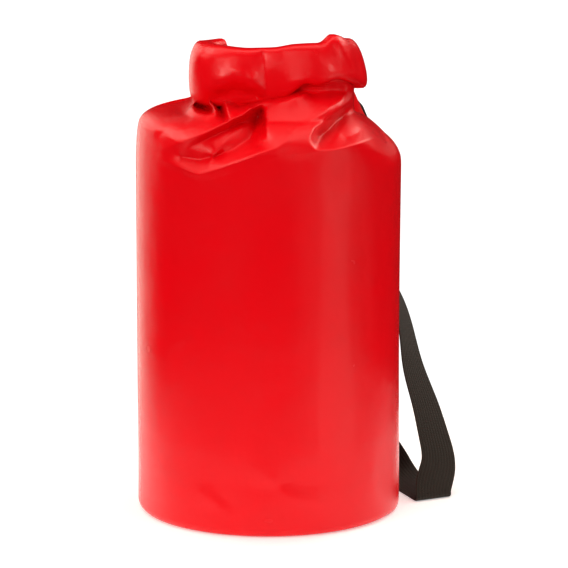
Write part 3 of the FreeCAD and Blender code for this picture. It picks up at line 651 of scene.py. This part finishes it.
def laid(name, azimuth, half, low, high, thick, corner):
    """A welded strip or patch that lies round the wall, with rounded corners and thin edges."""
    bend, across = np.linspace(0, math.pi / 2, 9), np.linspace(-1, 1, 25)
    z = np.concatenate([low + corner * (1 - np.cos(bend)),
                        np.linspace(low + corner, high - corner, 90)[1:-1],
                        high - corner * (1 - np.cos(bend[::-1]))])
    inset = np.clip(corner - np.minimum(z - low, high - z), 0, corner)
    width = half - corner + np.sqrt(np.maximum(corner ** 2 - inset ** 2, 0))
    edge = thick * np.sqrt(np.clip(1 - np.abs(across) ** 16, 0, 1))
    x = np.concatenate([across, across[::-1]])
    r = np.concatenate([WALL_R + edge, np.full(len(across), WALL_R - 0.0002)])
    turn = azimuth + x[None, :] * width[:, None] / WALL_R
    flat_z = np.broadcast_to(z[:, None], turn.shape)
    plain = np.stack([WALL_R * np.sin(turn), WALL_R * np.cos(turn), flat_z], -1)
    r = r[None, :] + slack(plain)
    p = np.stack([r * np.sin(turn), r * np.cos(turn), flat_z], -1)
    u = np.concatenate([turn, turn[:, :1]], 1) * WALL_R
    uv = np.stack([u, np.broadcast_to(z[:, None], u.shape)], -1)
    obj = outward(grid_object(name, p, uv, WELDED, wrap=True, cap_first=True, cap_last=True))
    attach(obj, "bag")
    return obj


bag_skin = skin()
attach(bag_skin, "bag")
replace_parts(bag_skin, "body_tube", "gathered_neck")
base = base_panel()
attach(base, "bag")
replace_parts(base, "base_dish")
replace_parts(laid("seam_tape", 0.0, 0.013, 0.009, 0.334, 0.0009, 0.003), "back_seam_tape")
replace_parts(laid("welded_patch", AZIMUTH, 0.028, 0.104, 0.172, 0.0010, 0.006), "lower_patch")


# ---------------------------------------------------------------- the roll
def rolled_mouth():
    """The flattened mouth rolled on itself: one sheet wound as a flat spiral, swept round the ring."""
    turns, each, steps = 3.6, 30, 300
    core_t, core_h, edge_h = 0.0036, 0.0165, 0.0215  # half thickness and heights, inside and outside
    phi = np.linspace(0, turns * 2 * math.pi, int(turns * each) + 1)
    grow = phi / phi[-1]
    half_t = core_t + (ROLL_HALF - core_t) * grow
    half_h = core_h + (edge_h - core_h) * grow
    angle = phi * -1 + math.pi * 0.5
    ca, sa = np.cos(angle), np.sin(angle)
    off = np.sign(ca) * np.abs(ca) ** 0.55 * half_t
    up = np.sign(sa) * np.abs(sa) ** 0.85 * half_h
    s = np.linspace(0, ROLL_LENGTH, steps)
    xy, out, drop = ring(s)
    middle = (ROLL_Z[0] + ROLL_Z[1]) / 2 - drop
    p = np.zeros((steps, len(phi), 3))
    outer = grow[None, :] ** 2
    top_line = edge_line(ROLL_TOP, s)[:, None]
    low_line = edge_line(ROLL_LOW, s)[:, None]
    share_up = np.clip(up / edge_h, -1, 1)[None, :]
    follow = smooth01((grow[None, :] - 0.2) / 0.5)  # the core keeps its plain shape
    lift = np.where(share_up > 0, top_line * share_up, low_line * -share_up) * follow
    share = s[:, None] / ROLL_LENGTH
    lean = 0.0045 * smooth01((share - 0.60) / 0.08) * smooth01((0.90 - share) / 0.10) + 0.002
    off_lean = off[None, :] - lean * share_up * follow
    p[..., 0] = xy[:, :1] + out[:, :1] * off_lean
    p[..., 1] = xy[:, 1:] + out[:, 1:] * off_lean
    p[..., 2] = middle[:, None] + up + lift
    seed = (p * 22.0).reshape(-1, 3)
    bulge = np.array([noise.noise(Vector(q)) for q in seed]).reshape(steps, -1)
    p[..., :2] += out[:, None, :] * (bulge * 0.0009 * outer * np.sign(off))[..., None]
    p[..., 2] += bulge * 0.0008 * outer
    relief = Relief(ROLL_FOLDS.values(), (-100, 110, 375, 470), passes=700, soften=2)
    facing = smooth01((-out[:, 1] + 0.25) / 0.4)[:, None] * smooth01(off / 0.006)[None, :] * outer
    p = proud(p, relief, facing)
    round_it = cumulative(np.hypot(np.diff(off), np.diff(up)))
    uv = np.stack([np.broadcast_to(s[:, None], (steps, len(phi))),
                   np.broadcast_to(round_it, (steps, len(phi)))], -1)
    obj = grid_object("rolled_mouth", p, uv, FABRIC)
    thick = obj.modifiers.new("fabric", "SOLIDIFY")
    thick.thickness, thick.offset = 0.0009, 0.0
    return obj, float(round_it[-1])


roll, wound = rolled_mouth()
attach(roll, "bag")
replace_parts(roll, "rolled_collar", "hem_lap")


# ---------------------------------------------------------------- webbing
def unit(v):
    v = np.asarray(v, float)
    return v / np.maximum(np.linalg.norm(v, axis=-1, keepdims=True), 1e-12)


def ribbon(name, centres, across, width, thick, material, body=None):
    """A woven strip with rounded selvedges along the centres; across gives its width direction."""
    p = np.asarray(centres, float)
    run = cumulative(np.linalg.norm(np.diff(p, axis=0), axis=1))
    n = max(int(run[-1] / 0.0016), 8)  # a section to every 1.6 mm
    at = np.linspace(0, run[-1], n)
    across = np.broadcast_to(np.asarray(across, float), p.shape)
    p = np.stack([np.interp(at, run, p[:, k]) for k in range(3)], -1)
    w = np.stack([np.interp(at, run, across[:, k]) for k in range(3)], -1)
    along = unit(np.gradient(p, at, axis=0))
    w = unit(w - along * (w * along).sum(-1, keepdims=True))
    up = np.cross(along, w)
    half, edge = width / 2, thick / 2
    flat = np.linspace(-half + edge, half - edge, 15)
    bend = np.radians(np.linspace(90, -90, 7))[1:-1]
    section = np.array([(x, edge) for x in flat]
                       + [(half - edge + edge * math.cos(a), edge * math.sin(a)) for a in bend]
                       + [(x, -edge) for x in flat[::-1]]
                       + [(-half + edge - edge * math.cos(a), -edge * math.sin(a)) for a in bend])
    points = p[:, None] + w[:, None] * section[None, :, :1] + up[:, None] * section[None, :, 1:]
    u = np.append(section[:, 0], section[0, 0])
    uv = np.stack([np.broadcast_to(u, (n, len(u))), np.broadcast_to(at[:, None], (n, len(u)))], -1)
    obj = outward(grid_object(name, points, uv, material, wrap=True, cap_first=True, cap_last=True))
    if body:
        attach(obj, body)
    return obj


def rounded(corners, radii, step):
    """A polyline through the corners with its inner corners rounded, in points a step apart."""
    c = np.array(corners, float)
    line = [c[0]]
    for before, corner, after, r in zip(c[:-2], c[1:-1], c[2:], radii):
        d0, d1 = unit(before - corner), unit(after - corner)
        half = math.acos(float(np.clip(d0 @ d1, -1, 1))) / 2
        centre = corner + unit(d0 + d1) * r / math.sin(half)
        e0 = corner + d0 * r / math.tan(half) - centre
        e1 = corner + d1 * r / math.tan(half) - centre
        sweep = math.pi - 2 * half
        count = max(int(sweep * r / step), 4)
        for k in range(count + 1):
            t = k / count
            line.append(centre + (math.sin((1 - t) * sweep) * e0 + math.sin(t * sweep) * e1)
                        / math.sin(sweep))
    line.append(c[-1])
    return np.array(line)


def clamped(stations, first, last):
    """A smooth curve through the stations, with the given slopes at its ends.

    Each station is x, y, z and the heading of the strip's width, which follows the same curve.
    """
    each = 24  # points to a span
    q = np.array(stations, float)
    run = cumulative(np.linalg.norm(np.diff(q[:, :3], axis=0), axis=1))
    n, h = len(q), np.diff(run)
    lhs, rhs = np.zeros((n, n)), np.zeros((n, q.shape[1]))
    lhs[0, 0] = lhs[-1, -1] = 1
    rhs[0], rhs[-1] = first, last
    for i in range(1, n - 1):
        lhs[i, i - 1:i + 2] = h[i], 2 * (h[i - 1] + h[i]), h[i - 1]
        rhs[i] = 3 * (h[i] * (q[i] - q[i - 1]) / h[i - 1] + h[i - 1] * (q[i + 1] - q[i]) / h[i])
    m = np.linalg.solve(lhs, rhs)
    out = []
    for i in range(n - 1):
        t = np.linspace(0, 1, each, endpoint=i == n - 2)[:, None]
        out.append((2 * t ** 3 - 3 * t ** 2 + 1) * q[i] + (t ** 3 - 2 * t ** 2 + t) * h[i] * m[i]
                   + (3 * t ** 2 - 2 * t ** 3) * q[i + 1] + (t ** 3 - t ** 2) * h[i] * m[i + 1])
    return np.concatenate(out)


def hung(points, bar, run):
    """From (outward, up) below a ring's fixed bar to the bag, leaning out to the swing line."""
    lean = math.asin((SWING_R - bar[0]) / run)
    y = points[:, 0] * math.cos(lean) - points[:, 1] * math.sin(lean)
    z = points[:, 0] * math.sin(lean) + points[:, 1] * math.cos(lean)
    r = y + bar[0]
    return np.stack([r * math.sin(AZIMUTH), r * math.cos(AZIMUTH), z + bar[1]], -1)


def radial(points):
    """From (radius, height) in the anchors' plane to the bag."""
    r, z = np.asarray(points).T
    return np.stack([r * math.sin(AZIMUTH), r * math.cos(AZIMUTH), z], -1)


ACROSS = np.array([math.cos(AZIMUTH), -math.sin(AZIMUTH), 0.0])  # across the webbing at the anchors


def heading(degrees):
    """A level direction, from +X towards +Y."""
    return np.array([math.cos(math.radians(degrees)), math.sin(math.radians(degrees)), 0.0])


STEP = 0.8  # between points on a rounded line, in mm


def strap_pieces():
    """The shoulder strap: it falls from the upper ring, turns over on the floor and rises to the lower.

    Lines are in mm: the strap's own in the bag's frame, the loops round the rings outward and up.
    """
    down = [((99, 115.5, 226), 116), ((112, 109.5, 206), 95), ((121, 103, 192), 84),
            ((128.5, 96, 174), 76), ((134.3, 88, 152), 70), ((141, 76, 118), 60),
            ((152.4, 60, 84), 50), ((161, 44, 54), 40), ((164.5, 30, 29), 32)]
    back = [((152, 31, 0.8), 22), ((143, 54, 0.8), 16), ((135, 74, 2.6), 10), ((124, 91, 10), -2),
            ((112, 102, 27), -18), ((99.5, 110, 50), -32)]
    # the fold on the floor, round a slanting axle
    axle, slant, r = np.array([158.5, 15.5, 4.0]), 27, 3.2
    crease = math.radians(slant)
    behind, up = np.array([-math.sin(crease), math.cos(crease), 0]), np.array([0, 0, 1.0])
    turn = np.radians(np.linspace(-24, 90, 40))[:, None]
    fold = axle + (-behind * np.cos(turn) - up * np.sin(turn)) * r
    fold_run = behind * np.sin(turn) - up * np.cos(turn)
    swing = np.array(SWING) / MM
    top, low = swing + [0, 0, 248.1], swing + [0, 0, 64.5]
    falling = [(*top, 142)] + [(*p, a) for p, a in down] + [(*fold[0], slant)]
    rising = [(*fold[-1], slant)] + [(*p, a) for p, a in back] + [(*low, -38)]
    falling = clamped(falling, (0, 0, -1, 0), (*fold_run[0], 0))
    rising = clamped(rising, (*fold_run[-1], 0), (0, 0, 1, 0))
    turned = np.tile(heading(slant), (len(fold), 1))

    over = rounded([(0, -108), (0, -35), (6.3, -24), (6.3, -9.7), (-6.3, -9.7), (-6.3, -24),
                    (-4.4, -33), (-4.4, -36)], [9, 9, 6.3, 6.3, 9, 5], STEP)
    over = hung(over * MM, UPPER_BAR, UPPER_RUN)[::-1]
    centres = np.concatenate([over, falling[2:, :3] * MM, fold[1:] * MM])
    widths = np.concatenate([np.tile(-ACROSS, (len(over), 1)),
                             [heading(a) for a in falling[2:, 3]], turned[1:]])
    fall = ribbon("strap_fall", centres, widths, WEB_W, WEB, STRAP)
    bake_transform(fall)
    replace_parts(fall, "strap_upper_run", "strap_main")

    loop = rounded([(0, -49), (0.2, -34), (6.3, -24), (6.3, -9.7), (-6.3, -9.7), (-6.3, -24),
                    (-1.4, -33), (-1.5, -47)], [9, 9, 6.3, 6.3, 9, 9], STEP)
    loop = hung(loop * MM, LOWER_BAR, LOWER_RUN)
    centres = np.concatenate([rising[:-2, :3] * MM, loop])
    widths = np.concatenate([[heading(a) for a in rising[:-2, 3]], np.tile(ACROSS, (len(loop), 1))])
    rise = ribbon("strap_rise", centres, widths, WEB_W, WEB, STRAP)
    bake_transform(rise)
    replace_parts(rise, "strap_lower_loop")

    layer = hung(np.array([(-4.4, -37), (-4.4, -82)]) * MM, UPPER_BAR, UPPER_RUN)
    end = ribbon("strap_end_strip", layer, ACROSS, WEB_W, WEB, STRAP, "bag")
    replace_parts(end, "strap_end_layer")
    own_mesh(end)
    eye = rounded([(-5.15, -74), (-6.7, -84), (-6.7, -93.3), (-2.1, -93.3), (-2.1, -84),
                   (-3.65, -74)], [6, 2.29, 2.29, 6], 0.5)
    eye = hung(eye * MM, UPPER_BAR, UPPER_RUN)
    eye = ribbon("strap_end_eye", eye, ACROSS, WEB_W, TAPE_T, STRAP, "slider")
    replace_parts(eye, "strap_end_loop")


def tab(name, corners, radii, bar, leave, width):
    """A doubled strip from its seam down round a ring's fixed bar and back, in the anchors' plane."""
    apart, eye_r = 0.72, 3.1  # mm
    line = rounded(corners, radii, STEP)
    normal = unit(np.stack([-np.gradient(line[:, 1]), np.gradient(line[:, 0])], -1))
    arc = np.radians(np.linspace(62, -218, 40))
    eye = np.array(bar) / MM + eye_r * np.stack([np.cos(arc), np.sin(arc)], -1)
    path = np.concatenate([line + normal * apart, eye[2:-2], (line - normal * apart)[:-leave][::-1]])
    return ribbon(name, radial(path * MM), ACROSS, width, WEB, STRAP, "bag")


def tab_pieces():
    upper = tab("upper_tab_strip", [(98, 385.2), (111, 383), (123, 373), (131.1, 360)], [14, 16],
                UPPER_BAR, 4, WEB_W)
    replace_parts(upper, "upper_tab")
    lower = tab("lower_tab_strip", [(128, 158), (128, 126), (130.1, 114.5)], [30], LOWER_BAR, 3, 0.036)
    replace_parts(lower, "lower_tab")


def closure_strip(name, path, body):
    """A strip of the closing webbing along (x, y) in mm, standing on edge at the buckle's height."""
    q = np.array(path, float)
    q = np.concatenate([q, np.full((len(q), 1), BUCKLE_Z / MM)], 1) * MM
    return ribbon(name, q, np.array([0, 0, 1.0]), TAPE_W, TAPE_T, TAPE, body)


def closure_eye(middle, first, last):
    """The webbing's turn round a bar of the buckle, in mm, from one angle to another in degrees."""
    arc = np.radians(np.linspace(first, last, 40))
    return np.stack([middle + 2.5 * np.cos(arc), BUCKLE_Y / MM + 2.5 * np.sin(arc)], -1)


def closure_pieces():
    left = rounded([(-49, 79), (-45.7, 82.2), (-34, 90), (-6, 90)], [6, 20], STEP)
    left = closure_strip("closure_tape_left", left, "bag")
    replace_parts(left, "closure_tail_left")
    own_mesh(left)
    path = np.concatenate([[(-13, 89.3), (-6.5, 89.3)], closure_eye(-1.4, -165, 165),
                           [(-6.5, 90.7), (-13, 90.7)]])
    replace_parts(closure_strip("closure_tape_eye", path, "plug"), "closure_loop_left")
    path = np.concatenate([[(45, 89.3), (41, 89.3)], closure_eye(36.4, 15, 345)[::-1],
                           [(41, 90.7), (45, 90.7)]])
    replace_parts(closure_strip("closure_tape_right", path, "bag"), "closure_tail_right")


def stitches(name, rows, body, pitch, zigzag, radius=0.00030):
    """Zigzag bar tacks: raised loops of thread along each row (start, end, out of the cloth)."""
    rings, around = 6, 6  # sections to a loop, points to a section
    verts, faces = [], []
    for start, end, normal in rows:
        start, end, normal = (np.asarray(q, float) for q in (start, end, normal))
        run = end - start
        count = max(int(np.linalg.norm(run) / pitch), 1)
        side = np.cross(normal, unit(run))
        for k in range(count):
            a = start + run * (k / count) + side * zigzag * (-1) ** k
            b = start + run * ((k + 1.0) / count) - side * zigzag * (-1) ** k
            wide = np.cross(normal, unit(b - a))
            first = len(verts)
            for t in np.linspace(0, 1, rings):
                rise = radius * (1.25 * math.sin(math.pi * t) - 0.35)
                fat = radius * (0.55 + 0.45 * math.sin(math.pi * t))
                for angle in np.linspace(0, 2 * math.pi, around + 1)[:-1]:
                    verts.append(a + (b - a) * t + normal * (rise + fat * math.sin(angle))
                                 + wide * fat * math.cos(angle))
            for m in range(first, first + (rings - 1) * around, around):
                for j in range(around):
                    nxt = (j + 1) % around
                    faces.append((m + j, m + nxt, m + around + nxt, m + around + j))
            faces.append(tuple(range(first + around - 1, first - 1, -1)))
            faces.append(tuple(range(first + (rings - 1) * around, first + rings * around)))
    mesh = bpy.data.meshes.new(name)
    mesh.from_pydata([tuple(v) for v in verts], [], faces)
    mesh.polygons.foreach_set("use_smooth", np.ones(len(mesh.polygons), bool))
    mesh.materials.append(THREAD)
    obj = bpy.data.objects.new(name, mesh)
    bpy.context.scene.collection.objects.link(obj)
    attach(outward(obj), body)
    return obj


TACK_HALF = 0.015  # half a row's length across the shoulder strap


def tack_row(y, z, bar, run, out):
    """A row across the webbing at (outward, up) from a ring's bar, facing out (+1) or in (-1)."""
    at, towards = hung(np.array([(y, z), (y + out, z)]) * MM, bar, run)
    side = ACROSS * TACK_HALF
    return at - side, at + side, unit(towards - at)


def closure_rows(places):
    """Upright rows at each x, on the back and the front of the closing webbing."""
    z0, z1 = BUCKLE_Z - 0.010, BUCKLE_Z + 0.010
    faces = ((0.0914, (0, 1, 0)), (0.0886, (0, -1, 0)))
    return [((x, y, z0), (x, y, z1), n) for x in places for y, n in faces]


def sewing():
    outward_dir = np.array([math.sin(AZIMUTH), math.cos(AZIMUTH), 0.0])
    rows = []
    for z in (132, 140, 148):
        at = radial(np.array([(129.5, z)]) * MM)[0] + outward_dir * 0.00015
        rows.append((at - ACROSS * TACK_HALF, at + ACROSS * TACK_HALF, outward_dir))
    for z in (-34.5, -39, -43.5):
        rows.append(tack_row(0.95, z, LOWER_BAR, LOWER_RUN, 1))
        rows.append(tack_row(-2.3, z, LOWER_BAR, LOWER_RUN, -1))
    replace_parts(stitches("bar_tacks", rows, "bag", 0.0013, 0.0009), "tack_rows")
    rows = [tack_row(-5.9, z, UPPER_BAR, UPPER_RUN, -1) for z in (-76, -79.5)]
    stitches("slider_tacks", rows, "slider", 0.0013, 0.0008)
    stitches("closure_tacks_right", closure_rows((0.0400, 0.0425)), "bag", 0.0012, 0.0006, 0.00026)
    stitches("closure_tacks_left", closure_rows((-0.0075, -0.0100)), "plug", 0.0012, 0.0006, 0.00026)


strap_pieces()
tab_pieces()
closure_pieces()
sewing()


# ---------------------------------------------------------------- floor, and the CAD's own pieces
FLOOR_R, FLOOR_SIDES = 0.42, 96
floor_mesh = bpy.data.meshes.new("floor")
around = np.linspace(0, 2 * math.pi, FLOOR_SIDES + 1)[:-1]
rim = [(FLOOR_R * math.cos(a), FLOOR_R * math.sin(a), 0.0) for a in around]
floor_mesh.from_pydata(rim, [], [tuple(range(FLOOR_SIDES))])
floor = bpy.data.objects.new("floor", floor_mesh)
bpy.context.scene.collection.objects.link(floor)
pale, _, pale_shader = new_material("pale_floor")
pale_shader.inputs["Base Color"].default_value = (0.88, 0.88, 0.88, 1)
pale_shader.inputs["Roughness"].default_value = 0.9
pale_shader.inputs["Specular IOR Level"].default_value = 0.1
pale_shader.inputs["Emission Color"].default_value = (1, 1, 1, 1)
pale_shader.inputs["Emission Strength"].default_value = 0.30
floor_mesh.materials.append(pale)

CAD_LOOKS = {
    "stiffener_inner": STIFF, "stiffener_outer": STIFF, "closure_webbing": TAPE,
    "buckle_female": PLASTIC, "buckle_male": PLASTIC, "buckle_arm_upper": PLASTIC,
    "buckle_arm_lower": PLASTIC, "upper_ring": PLASTIC, "lower_ring": PLASTIC,
    "strap_adjuster": PLASTIC,
}
for node, look in CAD_LOOKS.items():
    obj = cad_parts[node]
    obj.data.materials.clear()
    obj.data.materials.append(look)
